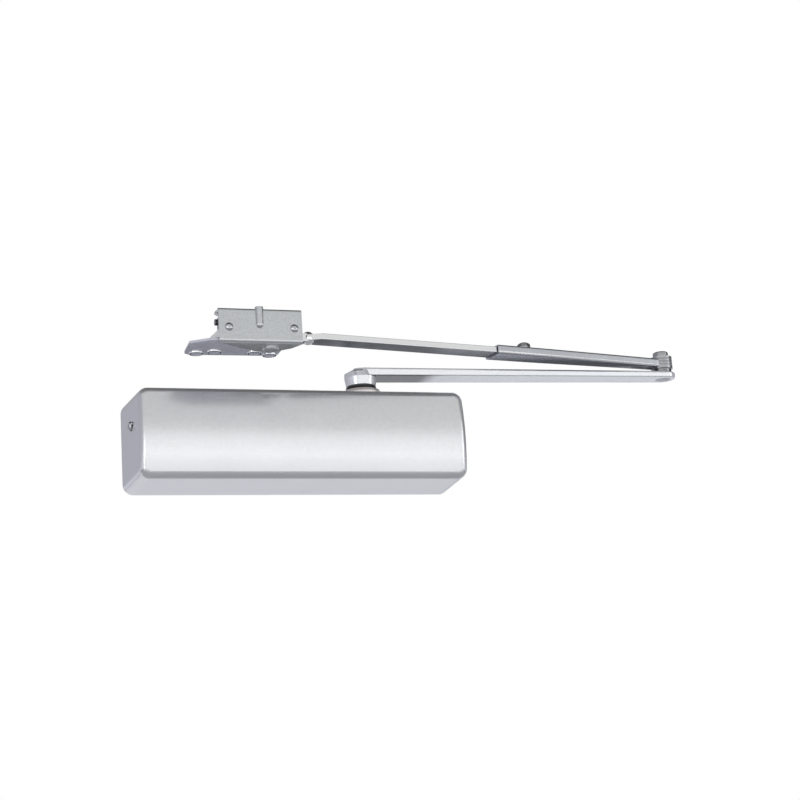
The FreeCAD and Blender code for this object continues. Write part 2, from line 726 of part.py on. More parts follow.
def cushion_housing():
    """Folded channel: upright web, tapered lower flange, top flange and left gusset."""
    front = housing_front
    inner = housing_front + housing_sheet
    outside = box(housing_left, housing_right, front, -90, housing_bottom, housing_top)
    bends = [e for e in outside.Edges if e.Length > 70 and e.Vertexes[0].Point.y < front + 1]
    outside = outside.makeFillet(2.8, bends)
    inside = box(housing_left - 1, housing_right + 1, inner, -80,
                 housing_bottom + housing_sheet, housing_top - housing_sheet)
    bends = [e for e in inside.Edges if e.Length > 70 and e.Vertexes[0].Point.y < inner + 1]
    inside = inside.makeFillet(0.8, bends)
    low = plate([(housing_left, front - 1), (housing_left, front + 3), (-61, -111),
                 (-50, -105.5), (-34, -107.5), (-23, -118), (housing_right, front + 3),
                 (housing_right, front - 1)], housing_bottom - 1, 80)
    top = plate([(housing_left, front - 1), (housing_left, -130), (housing_left + 2, -126),
                 (housing_left, -125), (housing_left, -117), (-80, housing_back),
                 (-28, housing_back), (housing_right, -117), (housing_right, front - 1)],
                80, housing_top + 1)
    channel = outside.cut(inside).common(low.fuse(top))
    foot = plate([(housing_left + 1, front + 0.4), (housing_left + 1, front + 2.4),
                  (-96.6, -127.4), (-98.0, -128.8)], plate_top, 80)
    outline = [V(housing_left + 1.5, -140, 77.5), V(-99, -140, plate_top),
               V(housing_left + 1.5, -140, plate_top)]
    slope = Part.Face(Part.makePolygon(outline + outline[:1])).extrude(V(0, 20, 0))
    gusset = foot.common(slope)
    rib = post(rib_x, front + 0.6, 81, housing_top + 1.2, 3.6)
    rib = rib.fuse(Part.makeSphere(3.6, V(rib_x, front + 0.6, 81)))
    rib = rib.common(box(rib_x - 5, rib_x + 5, front - 5, inner, 70, 99))
    channel = fuse([channel, gusset, rib])
    for x in housing_screw_xs:
        channel = channel.cut(bar_y(x, front - 1, inner + 1, housing_screw_z, 2.2))
    channel = channel.cut(post(pivot_x, pivot_y, 60, 72, 5.0))
    return channel.cut(post(pivot_x, pivot_y, 90, 96, 4.0))


def pivot_rivet():
    """Shouldered rivet through flange, plate and hub, closed over the top flange."""
    head = post(pivot_x, pivot_y, housing_bottom - 1.9, housing_bottom, 7.5)
    rim = [e for e in head.Edges if max(v.Point.z for v in e.Vertexes) < housing_bottom - 1]
    head = head.makeFillet(1.2, rim)
    shank = post(pivot_x, pivot_y, housing_bottom, housing_top - housing_sheet, 5.0)
    neck = post(pivot_x, pivot_y, housing_top - housing_sheet, housing_top, 4.0)
    button = post(pivot_x, pivot_y, housing_top, housing_top + 1.2, 6.0)
    return fuse([head, shank, neck, button])


def pivot_washer():
    return ring_z(pivot_x, pivot_y, plate_top, plate_top + 0.7, 9.0, 5.0)


def spring_abutment():
    """Block behind the web's left screw; the cushion spring pushes against it."""
    block = box(-88, -78, housing_front + housing_sheet, -113, 71, 91.0)
    block = block.cut(bar_x(-89, -77, cushion_y, cushion_z, 2.0))
    return block.cut(bar_y(housing_screw_xs[0], housing_front, -124, housing_screw_z, 2.2))


def guide_pin():
    pin = bar_x(-91.6, -66.6, cushion_y, cushion_z, 2.0)
    return pin.fuse(bar_x(-91.6, -89.0, cushion_y, cushion_z, 2.8)).removeSplitter()


def cushion_spring():
    spring = coil(3.9, 0.8, 78.0 - 68.6, 3)
    spring.rotate(V(0, 0, 0), Y, 90)
    spring.translate(V(-78.0, cushion_y, cushion_z))
    return spring


def cushion_plunger():
    head = bar_x(-68.6, plunger_face, cushion_y, cushion_z, 5.6)
    return head.cut(bar_x(-69, plunger_face - 1.5, cushion_y, cushion_z, 2.4))


def bumper_pad():
    pad = box(-30, -18.6, housing_front + housing_sheet, -128.4, 71.5, 85)
    return pad.cut(bar_y(housing_screw_xs[1], housing_front, -127, housing_screw_z, 2.2))


def housing_screws():
    screws = []
    for x, inner_end in zip(housing_screw_xs, (-125.0, -128.6)):
        seat = housing_front
        dome = Part.makeSphere(4.4, V(x, seat + 2.3, housing_screw_z))
        head = dome.common(box(x - 5, x + 5, seat - 4, seat, housing_screw_z - 5,
                               housing_screw_z + 5))
        slot = prism(2.2, 6, V(x, seat - 3, housing_screw_z), Y, 2.2)
        shank = bar_y(x, seat, inner_end, housing_screw_z, 2.2)
        screws.append(head.fuse(shank).cut(slot))
    return Part.makeCompound(screws)


# ---- write every piece --------------------------------------------------

os.makedirs("parts", exist_ok=True)

save("body_casting", body_casting())
save("cover", cover())
save("cover_bracket_left", cover_bracket(-1))
save("cover_bracket_right", cover_bracket(1))
save("bracket_screws", bracket_screws())
save("cover_screws", cover_screws())
save("spring_end_plug", end_plug(-1, 5.2))
save("valve_end_plug", end_plug(1, 0))
save("spring_end_seal", plug_seal(-1))
save("valve_end_seal", plug_seal(1))
save("upper_bearing", upper_bearing())
save("lower_bearing", lower_bearing())
save("upper_shaft_seal", upper_shaft_seal())
save("upper_bearing_cap", upper_bearing_cap())
save("lower_bearing_cap", lower_bearing_cap())
save("valve_seals", valve_seals())
save("pinion_shaft", pinion_shaft())
save("piston", piston())
save("check_ball", check_ball())
save("check_retainer", check_retainer())
save("main_spring", main_spring())
save("spring_seat", spring_seat())
save("spring_adjuster", spring_adjuster())
for name, z in zip(("latch_valve", "sweep_valve", "backcheck_valve"), valve_zs):
    save(name, regulating_valve(z))
save("main_arm", main_arm())
save("arm_spacer", arm_spacer())
save("arm_washer", arm_washer())
save("arm_screw", arm_screw())
save("elbow_rivet", elbow_rivet())
save("elbow_washer", elbow_washer())
save("forearm_tube", forearm_tube())
save("elbow_eye", elbow_eye())
save("elbow_bush", elbow_bush())
save("clamp_nut", clamp_nut())
save("clamp_screw", clamp_screw())
save("rod_bar", rod_bar())
save("rod_hub", rod_hub())
save("hub_bush", hub_bush())
save("soffit_plate", soffit_plate())
save("cushion_housing", cushion_housing())
save("pivot_rivet", pivot_rivet())
save("pivot_washer", pivot_washer())
save("spring_abutment", spring_abutment())
save("guide_pin", guide_pin())
save("cushion_spring", cushion_spring())
save("cushion_plunger", cushion_plunger())
save("bumper_pad", bumper_pad())
save("housing_screws", housing_screws())
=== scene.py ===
"""Surface door closer: full silver cover, forged main arm, telescoping forearm and a
cushion-stop soffit shoe, finished around the fixed frame that holds its sizes and joints."""
import math
import bmesh
import bpy
from mathutils import Matrix, Vector


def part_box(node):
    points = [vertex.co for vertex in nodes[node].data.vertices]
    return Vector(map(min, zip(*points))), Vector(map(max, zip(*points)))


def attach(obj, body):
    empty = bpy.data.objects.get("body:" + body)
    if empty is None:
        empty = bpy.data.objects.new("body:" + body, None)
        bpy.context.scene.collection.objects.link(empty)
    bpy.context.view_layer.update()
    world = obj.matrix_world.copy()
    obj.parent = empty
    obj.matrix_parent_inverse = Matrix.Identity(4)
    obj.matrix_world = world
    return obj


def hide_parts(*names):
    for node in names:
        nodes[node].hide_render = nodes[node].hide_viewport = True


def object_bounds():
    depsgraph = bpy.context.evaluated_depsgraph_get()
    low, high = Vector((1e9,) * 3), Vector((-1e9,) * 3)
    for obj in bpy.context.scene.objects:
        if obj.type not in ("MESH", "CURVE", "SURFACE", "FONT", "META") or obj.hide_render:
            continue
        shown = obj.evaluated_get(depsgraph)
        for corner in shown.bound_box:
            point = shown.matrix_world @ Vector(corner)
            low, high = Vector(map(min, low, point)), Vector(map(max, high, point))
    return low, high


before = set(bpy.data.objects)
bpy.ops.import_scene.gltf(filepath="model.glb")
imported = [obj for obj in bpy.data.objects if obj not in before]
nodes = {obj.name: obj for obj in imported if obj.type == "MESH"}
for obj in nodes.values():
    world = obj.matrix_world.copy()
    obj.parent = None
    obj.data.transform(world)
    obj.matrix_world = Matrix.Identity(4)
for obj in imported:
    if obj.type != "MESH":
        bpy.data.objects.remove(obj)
cad_low, cad_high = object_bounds()
scene = bpy.context.scene

# ---- camera -------------------------------------------------------------
# A long lens below and to the left of the closer, looking up at it, as a fitter on the
# floor sees a closer at the head of a door. It is rolled a little about its own axis.
camera_place = Vector((-0.4156, -1.5518, -0.3616))
camera_yaw = math.radians(-18.84)
camera_pitch = math.radians(14.11)
camera_roll = math.radians(-3.9)
camera_data = bpy.data.cameras.new("camera")
camera_data.sensor_width = 36.0
camera_data.lens = 79.15
camera = bpy.data.objects.new("camera", camera_data)
camera.matrix_world = (Matrix.Translation(camera_place)
                       @ Matrix.Rotation(camera_yaw, 4, "Z")
                       @ Matrix.Rotation(math.pi / 2 + camera_pitch, 4, "X")
                       @ Matrix.Rotation(camera_roll, 4, "Z"))
scene.collection.objects.link(camera)
scene.camera = camera
scene.view_settings.view_transform = "Standard"


# ---- studio light -------------------------------------------------------
# The backdrop is plain white. What the metal mirrors is a light tent: pale below, white at
# eye level in front and grey above it, dark overhead, and darkest high up behind.
def add_node(tree, kind, values=None, links=None, **settings):
    """Adds a shader or geometry node with its settings, socket values and links."""
    made = tree.nodes.new(kind)
    for key, value in settings.items():
        setattr(made, key, value)
    for key, value in (values or {}).items():
        made.inputs[key].default_value = value
    for key, source in (links or {}).items():
        tree.links.new(source, made.inputs[key])
    return made


def set_ramp(ramp_node, stops):
    """Gives a colour ramp its stops, as pairs of place and colour."""
    ramp = ramp_node.color_ramp
    while len(ramp.elements) > 1:
        ramp.elements.remove(ramp.elements[-1])
    ramp.elements[0].position = stops[0][0]
    ramp.elements[0].color = stops[0][1]
    for place, colour in stops[1:]:
        ramp.elements.new(place).color = colour


def grey(level, blue=1.0):
    """A linear grey, tinted towards blue when blue is above 1."""
    return (level, level, min(level * blue, 1.0), 1.0)


world = bpy.data.worlds.new("light_tent")
scene.world = world
world.use_nodes = True
sky = world.node_tree
sky.nodes.clear()
tent_strength = 1.2
direction = add_node(sky, "ShaderNodeTexCoord")
split = add_node(sky, "ShaderNodeSeparateXYZ", links={0: direction.outputs["Generated"]})
height = add_node(sky, "ShaderNodeMapRange", {"From Min": -1.0, "From Max": 1.0},
                  {"Value": split.outputs["Z"]})
front_wall = add_node(sky, "ShaderNodeValToRGB", links={"Fac": height.outputs["Result"]})
set_ramp(front_wall, [(0.0, grey(0.8, 1.05)), (0.42, grey(1.0)), (0.575, grey(1.0)),
                      (0.625, grey(0.58)), (0.90, grey(0.55)), (0.945, grey(0.28)),
                      (0.97, grey(0.07)), (1.0, grey(0.05))])
back_left = add_node(sky, "ShaderNodeValToRGB", links={"Fac": height.outputs["Result"]})
set_ramp(back_left, [(0.0, grey(0.8, 1.12)), (0.46, grey(0.8, 1.12)), (0.54, grey(0.38, 1.13)),
                     (0.80, grey(0.34, 1.1)), (0.94, grey(0.08)), (1.0, grey(0.05))])
back_right = add_node(sky, "ShaderNodeValToRGB", links={"Fac": height.outputs["Result"]})
set_ramp(back_right, [(0.0, grey(0.8, 1.1)), (0.47, grey(0.8, 1.1)), (0.53, grey(0.30, 1.1)),
                      (0.62, grey(0.12)), (1.0, grey(0.05))])


def wall_mix(axis, start, end, first, second):
    """Blends two walls of the tent from one side of an axis to the other."""
    share = add_node(sky, "ShaderNodeMapRange", {"From Min": start, "From Max": end},
                     {"Value": split.outputs[axis]}, interpolation_type="SMOOTHSTEP")
    return add_node(sky, "ShaderNodeMix", links={0: share.outputs["Result"],
                                                 6: first, 7: second},
                    data_type="RGBA").outputs[2]


back_wall = wall_mix("X", -0.15, 0.25, back_left.outputs["Color"], back_right.outputs["Color"])
tent = wall_mix("Y", -0.6, -0.15, front_wall.outputs["Color"], back_wall)
mirrored = add_node(sky, "ShaderNodeBackground", {"Strength": tent_strength}, {"Color": tent})
backdrop = add_node(sky, "ShaderNodeBackground", {"Color": grey(1.0), "Strength": 1.0})
ray = add_node(sky, "ShaderNodeLightPath")
mixed = add_node(sky, "ShaderNodeMixShader", links={0: ray.outputs["Is Camera Ray"],
                                                    1: mirrored.outputs[0],
                                                    2: backdrop.outputs[0]})
add_node(sky, "ShaderNodeOutputWorld", links={0: mixed.outputs[0]})


def soft_lamp(name, place, aim, width, height, glow):
    """A soft box that is mirrored but not seen; glow is its brightness, whatever its size."""
    lamp_data = bpy.data.lights.new(name, "AREA")
    lamp_data.shape = "RECTANGLE"
    lamp_data.size = width
    lamp_data.size_y = height
    lamp_data.energy = glow * math.pi * width * height
    lamp = bpy.data.objects.new(name, lamp_data)
    lamp.location = place
    lamp.rotation_mode = "QUATERNION"
    lamp.rotation_quaternion = (Vector(aim) - Vector(place)).to_track_quat("-Z", "Y")
    lamp.visible_camera = False
    scene.collection.objects.link(lamp)


# A strip at each side makes the long highlights, and a wide low box whitens the cover's
# front. The last lamp faces down and lights the floor behind, which the undersides mirror.
closer_middle = (0.05, -0.05, 0.02)
soft_lamp("left_strip", (-1.62, -1.20, -0.16), closer_middle, width=0.46, height=0.75, glow=2.0)
soft_lamp("front_box", (0.1, -1.3, -0.36), closer_middle, width=2.6, height=0.52, glow=0.84)
soft_lamp("right_strip", (1.9, -1.0, 0.1), closer_middle, width=0.35, height=1.2, glow=1.6)
soft_lamp("floor_light", (0.4, 2.0, -0.22), (0.4, 2.0, -1.0), width=5.0, height=2.6, glow=0.80)


# ---- floor --------------------------------------------------------------
# A square of pale matt floor under the closer, which the undersides mirror. It belongs to
# the stage and not to the object.
def srgb(text):
    """A hex sRGB colour as the linear colour that shaders take."""
    parts = [int(text[i:i + 2], 16) / 255 for i in (0, 2, 4)]
    return tuple(c / 12.92 if c <= 0.04045 else ((c + 0.055) / 1.055) ** 2.4
                 for c in parts) + (1.0,)


def link_new(name, mesh):
    """A new object that shows a mesh in the scene."""
    piece = bpy.data.objects.new(name, mesh)
    scene.collection.objects.link(piece)
    return piece


floor_half = 6.0
floor_drop = 0.6
floor_z = cad_low.z - floor_drop
floor_mesh = bpy.data.meshes.new("floor")
floor_mesh.from_pydata([(-floor_half, -floor_half, floor_z), (floor_half, -floor_half, floor_z),
                        (floor_half, floor_half, floor_z), (-floor_half, floor_half, floor_z)],
                       [], [(0, 1, 2, 3)])
floor = link_new("floor", floor_mesh)
floor_paint = bpy.data.materials.new("pale_floor")
floor_paint.use_nodes = True
floor_shader = floor_paint.node_tree.nodes["Principled BSDF"]
floor_shader.inputs["Base Color"].default_value = srgb("E4E5EA")
floor_shader.inputs["Roughness"].default_value = 0.8
floor_mesh.materials.append(floor_paint)


# ---- body casting -------------------------------------------------------
# The one-piece iron casting that holds the bore, the pinion boss and the mounting lugs.
# It is sand cast, so its skin is pebbled, and it is dipped in dull grey paint.
def new_finish(name, metallic):
    """A new material, its node tree and its shader, ready for colour, roughness and bump."""
    material = bpy.data.materials.new(name)
    material.use_nodes = True
    tree = material.node_tree
    shader = tree.nodes["Principled BSDF"]
    shader.inputs["Metallic"].default_value = metallic
    return material, tree, shader


def put_on(material, *names):
    """Gives the CAD nodes of these names one material in place of their own."""
    for name in names:
        nodes[name].data.materials.clear()
        nodes[name].data.materials.append(material)


# To the eye it is a dull mid grey, blotched, with a pebble every two millimetres or so.
pebble_mm = 2.2
cast_iron, tree, shader = new_finish("dip_painted_cast_iron", 0.15)
place = add_node(tree, "ShaderNodeTexCoord")
pebble = add_node(tree, "ShaderNodeTexVoronoi", {"Scale": 1000 / pebble_mm},
                  {"Vector": place.outputs["Object"]}, feature="SMOOTH_F1")
blotch = add_node(tree, "ShaderNodeTexNoise", {"Scale": 60.0, "Detail": 5.0},
                  {"Vector": place.outputs["Object"]})
tone = add_node(tree, "ShaderNodeValToRGB", links={"Fac": blotch.outputs["Fac"]})
set_ramp(tone, [(0.32, srgb("5B5D61")), (0.55, srgb("6F7175")), (0.72, srgb("7E8085"))])
rough = add_node(tree, "ShaderNodeMapRange", {"To Min": 0.48, "To Max": 0.72},
                 {"Value": blotch.outputs["Fac"]})
skin = add_node(tree, "ShaderNodeBump", {"Strength": 0.35, "Distance": 0.0004},
                {"Height": pebble.outputs["Distance"]})
tree.links.new(tone.outputs["Color"], shader.inputs["Base Color"])
tree.links.new(rough.outputs["Result"], shader.inputs["Roughness"])
tree.links.new(skin.outputs["Normal"], shader.inputs["Normal"])
put_on(cast_iron, "body_casting")


# ---- bore plugs, pinion shaft and bearing covers ------------------------
# Steel pieces turned on a lathe: the threaded plugs that shut the bore, the pinion with
# its journals, and the cap under the lower bearing. The tool leaves rings about the axis.
wave_period = 0.314159  # metres from crest to crest of a wave texture whose scale is 1


def turned_metal(name, light, dark, centre, axis, ring_mm=1.2, rough=(0.18, 0.34),
                 ring_depth=0.25, metallic=1.0):
    """Lathe-turned metal: fine rings about an axis, and a slow drift in its tone."""
    material, tree, shader = new_finish(name, metallic)
    place = add_node(tree, "ShaderNodeTexCoord")
    centred = add_node(tree, "ShaderNodeVectorMath", {1: centre},
                       {0: place.outputs["Object"]}, operation="SUBTRACT")
    rings = add_node(tree, "ShaderNodeTexWave",
                     {"Scale": wave_period / (ring_mm / 1000), "Distortion": 0.6,
                      "Detail": 2.0, "Detail Scale": 3.0},
                     {"Vector": centred.outputs["Vector"]}, wave_type="RINGS",
                     rings_direction=axis)
    drift = add_node(tree, "ShaderNodeTexNoise", {"Scale": 140.0, "Detail": 3.0},
                     {"Vector": centred.outputs["Vector"]})
    both = add_node(tree, "ShaderNodeMix", {"Factor": 0.35},
                    {2: drift.outputs["Fac"], 3: rings.outputs["Fac"]})
    tone = add_node(tree, "ShaderNodeValToRGB", links={"Fac": both.outputs[0]})
    set_ramp(tone, [(0.25, srgb(dark)), (0.75, srgb(light))])
    sheen = add_node(tree, "ShaderNodeMapRange", {"To Min": rough[0], "To Max": rough[1]},
                     {"Value": both.outputs[0]})
    ridged = add_node(tree, "ShaderNodeBump", {"Strength": ring_depth, "Distance": 0.00008},
                      {"Height": rings.outputs["Fac"]})
    tree.links.new(tone.outputs["Color"], shader.inputs["Base Color"])
    tree.links.new(sheen.outputs["Result"], shader.inputs["Roughness"])
    tree.links.new(ridged.outputs["Normal"], shader.inputs["Normal"])
    return material


def middle(name):
    """The centre of a CAD node's box."""
    low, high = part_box(name)
    return (Vector(low) + Vector(high)) / 2


bore_centre = middle("spring_end_plug")
pinion_centre = middle("upper_bearing_cap")
# Both are clean bright steel, ringed by the tool; the ground pinion is the smoother one.
bore_steel = turned_metal("bore_turned_steel", "B9BBBE", "8E9094", bore_centre, "X")
pinion_steel = turned_metal("ground_journal_steel", "BDBFC2", "8C8F93", pinion_centre, "Z",
                            rough=(0.12, 0.28))
put_on(bore_steel, "spring_end_plug", "valve_end_plug")
put_on(pinion_steel, "pinion_shaft", "lower_bearing_cap")


# ---- needle bearings ----------------------------------------------------
# Each journal runs in a drawn steel cup with a ring of loose needles inside. The cup is
# pressed into the boss, and the needles are ground and polished.
def tree_with(name, inputs):
    """A Geometry Nodes tree with named size inputs, and the node that gives them out."""
    tree = bpy.data.node_groups.new(name, "GeometryNodeTree")
    for label, kind, value in inputs:
        socket = tree.interface.new_socket(label, in_out="INPUT", socket_type=kind)
        socket.default_value = value
    tree.interface.new_socket("Geometry", in_out="OUTPUT", socket_type="NodeSocketGeometry")
    return tree, tree.nodes.new("NodeGroupInput")


def end_tree(tree, geometry, material):
    """Ends a tree in Realize Instances and Set Material."""
    real = add_node(tree, "GeometryNodeRealizeInstances", links={0: geometry})
    painted = add_node(tree, "GeometryNodeSetMaterial", {"Material": material},
                       {"Geometry": real.outputs[0]})
    add_node(tree, "NodeGroupOutput", links={0: painted.outputs[0]})


def made_by(tree, sizes, moved):
    """The plain mesh that a tree makes with these sizes, moved to its place."""
    holder = link_new("holder", bpy.data.meshes.new("holder"))
    modifier = holder.modifiers.new("nodes", "NODES")
    modifier.node_group = tree
    for item in tree.interface.items_tree:
        if item.item_type == "SOCKET" and item.name in sizes:
            modifier[item.identifier] = sizes[item.name]
    ready = holder.evaluated_get(bpy.context.evaluated_depsgraph_get())
    mesh = bpy.data.meshes.new_from_object(ready)
    holder.modifiers.clear()
    bpy.data.objects.remove(holder)
    mesh.transform(moved)
    return mesh


def from_bmesh(work, name, material, sharp_degrees):
    """Ends a bmesh in a mesh with one material, smooth but for its sharp edges."""
    bmesh.ops.recalc_face_normals(work, faces=work.faces)
    mesh = bpy.data.meshes.new(name)
    work.to_mesh(mesh)
    work.free()
    mesh.materials.append(material)
    for face in mesh.polygons:
        face.use_smooth = True
    mesh.set_sharp_from_angle(angle=math.radians(sharp_degrees))
    return mesh


def welded(mesh, name):
    """The same mesh with points that coincide made one."""
    weld_distance = 1e-7
    work = bmesh.new()
    work.from_mesh(mesh)
    bmesh.ops.remove_doubles(work, verts=work.verts, dist=weld_distance)
    return from_bmesh(work, name, mesh.materials[0], sharp_degrees=35)


# Pale polished steel, the smoothest of the metals inside.
needle_steel = turned_metal("ground_needle_steel", "C9CBCE", "9A9DA1", pinion_centre, "Z",
                            rough=(0.08, 0.2))
bearing_tree, bearing_sizes = tree_with("needle_bearing", [
    ("Needles", "NodeSocketInt", 20), ("Needle radius", "NodeSocketFloat", 0.00115),
    ("Needle ring", "NodeSocketFloat", 0.0103), ("Needle length", "NodeSocketFloat", 0.0094),
    ("Cup radius", "NodeSocketFloat", 0.0124), ("Cup length", "NodeSocketFloat", 0.011),
    ("Cup wall", "NodeSocketFloat", 0.001)])
needle = add_node(bearing_tree, "GeometryNodeMeshCylinder", {"Vertices": 12},
                  {"Radius": bearing_sizes.outputs["Needle radius"],
                   "Depth": bearing_sizes.outputs["Needle length"]})
ring = add_node(bearing_tree, "GeometryNodeMeshCircle",
                links={"Vertices": bearing_sizes.outputs["Needles"],
                       "Radius": bearing_sizes.outputs["Needle ring"]})
needles = add_node(bearing_tree, "GeometryNodeInstanceOnPoints",
                   links={"Points": ring.outputs[0], "Instance": needle.outputs[0]})
cup_line = add_node(bearing_tree, "GeometryNodeCurvePrimitiveCircle", {"Resolution": 64},
                    {"Radius": bearing_sizes.outputs["Cup radius"]})
cup_wall = add_node(bearing_tree, "GeometryNodeCurvePrimitiveQuadrilateral",
                    links={"Width": bearing_sizes.outputs["Cup wall"],
                           "Height": bearing_sizes.outputs["Cup length"]})
cup = add_node(bearing_tree, "GeometryNodeCurveToMesh",
               links={"Curve": cup_line.outputs[0], "Profile Curve": cup_wall.outputs[0]})
bearing = add_node(bearing_tree, "GeometryNodeJoinGeometry")
bearing_tree.links.new(cup.outputs[0], bearing.inputs[0])
bearing_tree.links.new(needles.outputs[0], bearing.inputs[0])
end_tree(bearing_tree, bearing.outputs[0], needle_steel)
for node in ("upper_bearing", "lower_bearing"):
    mesh = made_by(bearing_tree, {}, Matrix.Translation(middle(node)))
    piece = link_new(node + "_needles", welded(mesh, node + "_needles"))
    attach(piece, "closer_body")
    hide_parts(node)


# ---- seals --------------------------------------------------------------
# Black nitrile O-rings and a lip seal. They are moulded, so they are smooth and dull, with
# a faint bloom of oil that lifts the shine in patches.
def mottled(name, metallic, scale, detail, stops, rough, distortion=0.0):
    """A finish whose tone and roughness drift together in patches."""
    material, tree, shader = new_finish(name, metallic)
    place = add_node(tree, "ShaderNodeTexCoord")
    patches = add_node(tree, "ShaderNodeTexNoise",
                       {"Scale": scale, "Detail": detail, "Distortion": distortion},
                       {"Vector": place.outputs["Object"]})
    tone = add_node(tree, "ShaderNodeValToRGB", links={"Fac": patches.outputs["Fac"]})
    set_ramp(tone, [(at, srgb(colour)) for at, colour in stops])
    dull = add_node(tree, "ShaderNodeMapRange", {"To Min": rough[0], "To Max": rough[1]},
                    {"Value": patches.outputs["Fac"]})
    tree.links.new(tone.outputs["Color"], shader.inputs["Base Color"])
    tree.links.new(dull.outputs["Result"], shader.inputs["Roughness"])
    return material


nitrile = mottled("moulded_nitrile_rubber", 0.0, scale=260.0, detail=4.0,
                  stops=[(0.35, "0E0E0F"), (0.7, "1C1C1E")], rough=(0.38, 0.62))
put_on(nitrile, "spring_end_seal", "valve_end_seal", "upper_shaft_seal", "valve_seals")


# ---- rack piston, check ball and main spring ----------------------------
# The piston, the ball, its retainer and the spring's seat are bright and finely ringed. The
# spring is wound from oil-tempered wire, so it is nearly black, with brown and blue patches.
piston_steel = turned_metal("honed_piston_steel", "C2C4C7", "94979B", middle("piston"), "X",
                            ring_mm=0.9, rough=(0.14, 0.26))
put_on(piston_steel, "piston", "check_retainer", "check_ball", "spring_seat")

tempered_wire = mottled("oil_tempered_wire", 0.9, scale=420.0, detail=5.0,
                        stops=[(0.3, "2B2A2C"), (0.52, "45444A"), (0.75, "5A544E")],
                        rough=(0.24, 0.46))
put_on(tempered_wire, "main_spring", "cushion_spring")


# ---- regulating valves --------------------------------------------------
# Three brass needle valves in the right end of the body, slotted for a screwdriver. They
# are yellow and ringed, and stand out against the grey casting.
valve_brass = turned_metal("turned_valve_brass", "D2B566", "A5873F", middle("sweep_valve"), "X",
                           ring_mm=0.8, rough=(0.16, 0.3))
put_on(valve_brass, "latch_valve", "sweep_valve", "backcheck_valve")


# ---- cover brackets and their screws ------------------------------------
# Folded strips of zinc-plated sheet at each end of the body that take the cover's screws.
# Electroplated zinc is blue-white, with a soft cloudy pattern and fine rolling lines.
def plated_zinc(name, light, dark, cloud_mm, rough, line_axis=None, lines=0.0,
                metallic=1.0):
    """Electroplated zinc: clouds over rolling lines, which run along the line axis."""
    line_stretch = 0.02
    material, tree, shader = new_finish(name, metallic)
    place = add_node(tree, "ShaderNodeTexCoord")
    clouds = add_node(tree, "ShaderNodeTexNoise", {"Scale": 1000 / cloud_mm, "Detail": 3.0,
                                                   "Distortion": 0.4},
                      {"Vector": place.outputs["Object"]})
    stretch = [1.0, 1.0, 1.0]
    if line_axis is not None:
        stretch[line_axis] = line_stretch
    along = add_node(tree, "ShaderNodeMapping", {"Scale": stretch},
                     {"Vector": place.outputs["Object"]})
    streaks = add_node(tree, "ShaderNodeTexNoise", {"Scale": 1400.0, "Detail": 2.0},
                      {"Vector": along.outputs["Vector"]})
    both = add_node(tree, "ShaderNodeMix", {"Factor": lines},
                    {2: clouds.outputs["Fac"], 3: streaks.outputs["Fac"]})
    tone = add_node(tree, "ShaderNodeValToRGB", links={"Fac": both.outputs[0]})
    set_ramp(tone, [(0.3, srgb(dark)), (0.7, srgb(light))])
    dull = add_node(tree, "ShaderNodeMapRange", {"To Min": rough[0], "To Max": rough[1]},
                    {"Value": both.outputs[0]})
    tree.links.new(tone.outputs["Color"], shader.inputs["Base Color"])
    tree.links.new(dull.outputs["Result"], shader.inputs["Roughness"])
    return material


# The sheet is satin, with lines from front to back; the screws are brighter and smoother.
bracket_zinc = plated_zinc("plated_bracket_sheet", "CDD0D4", "A4A8AE", 4.0, (0.22, 0.38),
                           line_axis=1, lines=0.5)
screw_zinc = plated_zinc("bright_plated_screw", "E4E6E9", "B4B8BD", 1.2, (0.10, 0.24))
put_on(bracket_zinc, "cover_bracket_left", "cover_bracket_right", "arm_washer",
       "pivot_washer")
put_on(screw_zinc, "bracket_screws", "cover_screws", "arm_screw", "housing_screws",
       "spring_adjuster")


# ---- screw threads ------------------------------------------------------
# Rolled threads on the shanks of the two cover screws. A thread is a small triangular ridge
# wound round the shank, and it is plated with the screw.
thread_tree, thread_sizes = tree_with("screw_thread", [
    ("Pitch", "NodeSocketFloat", 0.0007), ("Core radius", "NodeSocketFloat", 0.002),
    ("Length", "NodeSocketFloat", 0.006), ("Ridge", "NodeSocketFloat", 0.00025)])
turns = add_node(thread_tree, "ShaderNodeMath", links={0: thread_sizes.outputs["Length"],
                                                       1: thread_sizes.outputs["Pitch"]},
                 operation="DIVIDE")
winding = add_node(thread_tree, "GeometryNodeCurveSpiral", {"Resolution": 24},
                   {"Rotations": turns.outputs[0], "Height": thread_sizes.outputs["Length"],
                    "Start Radius": thread_sizes.outputs["Core radius"],
                    "End Radius": thread_sizes.outputs["Core radius"]})
ridge = add_node(thread_tree, "GeometryNodeCurvePrimitiveCircle", {"Resolution": 3},
                 {"Radius": thread_sizes.outputs["Ridge"]})
thread = add_node(thread_tree, "GeometryNodeCurveToMesh", {"Fill Caps": True},
                  {"Curve": winding.outputs[0], "Profile Curve": ridge.outputs[0]})
end_tree(thread_tree, thread.outputs[0], screw_zinc)
shank_r = 0.002
thread_pitch = 0.0008
thread_ridge = thread_pitch * 0.32
thread_length = 0.0065
thread_start = 0.0042  # from the outer face of the screw's head


def threads(name, start, direction, body):
    """The thread on a screw's shank, wound from its start along the direction."""
    turn = Vector(direction).to_track_quat("Z", "Y").to_matrix().to_4x4()
    mesh = made_by(thread_tree, {"Pitch": thread_pitch, "Core radius": shank_r,
                                 "Length": thread_length, "Ridge": thread_ridge},
                   Matrix.Translation(start) @ turn)
    piece = link_new(name, welded(mesh, name))
    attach(piece, body)


